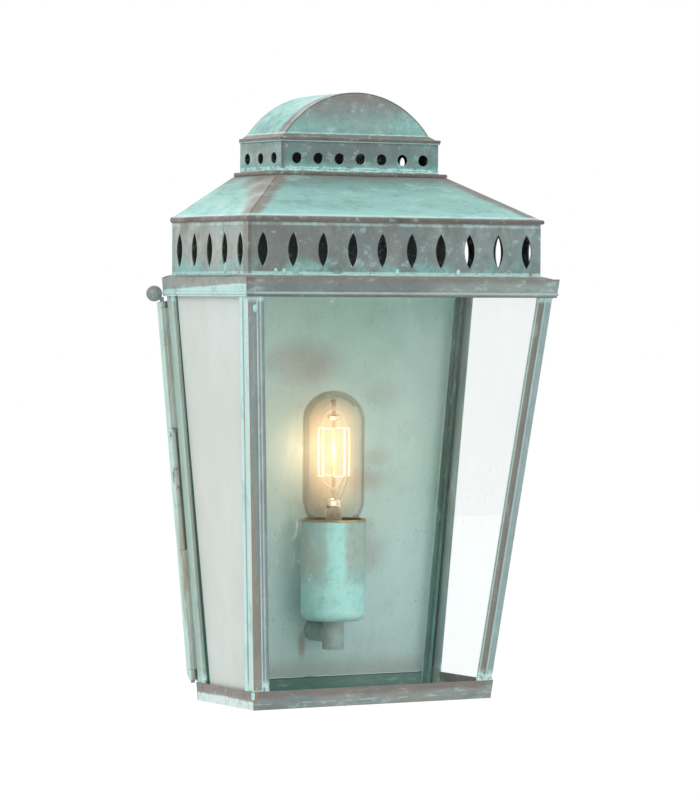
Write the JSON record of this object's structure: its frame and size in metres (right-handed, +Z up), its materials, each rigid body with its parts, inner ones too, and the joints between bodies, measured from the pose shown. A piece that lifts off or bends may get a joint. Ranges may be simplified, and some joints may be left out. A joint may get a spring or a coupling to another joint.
{
  "type": "wall lantern",
  "caption": "Half-lantern for a wall: glazed splayed cage with pierced gallery, hip roof and barrel dome, hinged on a tray-shaped back pan over an upright lamp.",
  "frame": {"origin": "middle of the two wall screw holes, on the wall's face", "axes": "+Y into the wall, -Y towards the front, +Z up, +X to the right seen from the front"},
  "size_m": [0.2749, 0.1458, 0.45],
  "materials": {
    "verdigris_copper": "weathered, verdigris over brown",
    "grey_copper": "weathered, grey-green patina",
    "brown_copper": "brown oxide with pale solder",
    "pan_copper": "pale green patina with pinkish-brown patches",
    "bare_brass": "dull",
    "zinc_steel": "zinc plated",
    "porcelain": "glazed",
    "window_glass": "clear with a haze of lime",
    "bulb_glass": "clear",
    "filament": "glowing carbon filament"
  },
  "bodies": {
    "back": {"back_pan": "pan_copper", "wall_bracket": "zinc_steel", "pan_screws": "bare_brass", "terminal_block": "porcelain", "pan_knuckles": "verdigris_copper", "arm_tube": "verdigris_copper", "arm_nut": "zinc_steel", "wire_bush": "porcelain", "stem_tube": "verdigris_copper", "stem_nipple": "bare_brass", "holder_cup": "verdigris_copper", "cup_rim": "bare_brass", "socket_insulator": "porcelain", "socket_shell": "bare_brass", "centre_contact": "bare_brass", "catch_stud": "bare_brass"},
    "cage": {"post_front_left": "grey_copper", "post_front_right": "grey_copper", "post_back_left": "grey_copper", "post_back_right": "grey_copper", "base_tray": "grey_copper", "cornice": "verdigris_copper", "gallery": "verdigris_copper", "eave_rim": "brown_copper", "hip_roof": "verdigris_copper", "collar_plate": "brown_copper", "neck": "verdigris_copper", "shoulder": "verdigris_copper", "barrel_dome": "verdigris_copper", "roof_back": "grey_copper", "glass_front": "window_glass", "glass_left": "window_glass", "glass_right": "window_glass", "glazing_strips": "grey_copper", "cage_knuckles": "verdigris_copper", "catch_fork": "verdigris_copper"},
    "pin": {"hinge_pin": "grey_copper"},
    "nut": {"catch_nut": "bare_brass"},
    "lamp": {"lamp_bulb": "bulb_glass", "lamp_cap": "bare_brass", "lamp_mount": "bulb_glass", "lamp_filament": "filament"}
  },
  "joints": [
    {"name": "cage_hinge", "type": "hinge", "parent": "back", "child": "cage", "pos_m": [-0.11675, -0.0135, -0.015], "axis": [0.0945, 0, -0.9955], "range_deg": [0, 95]},
    {"name": "pin_lift", "type": "slide", "parent": "cage", "child": "pin", "axis": [-0.0945, 0, 0.9955], "range_m": [0, 0.29]},
    {"name": "nut_turn", "type": "hinge", "parent": "back", "child": "nut", "pos_m": [0.11415, -0.0055, -0.015], "axis": [0.9955, 0, -0.0945], "range_deg": [0, 360]},
    {"name": "lamp_turn", "type": "hinge", "parent": "back", "child": "lamp", "pos_m": [0, -0.041, 0], "axis": [0, 0, 1], "range_deg": [0, 360]}
  ]
}
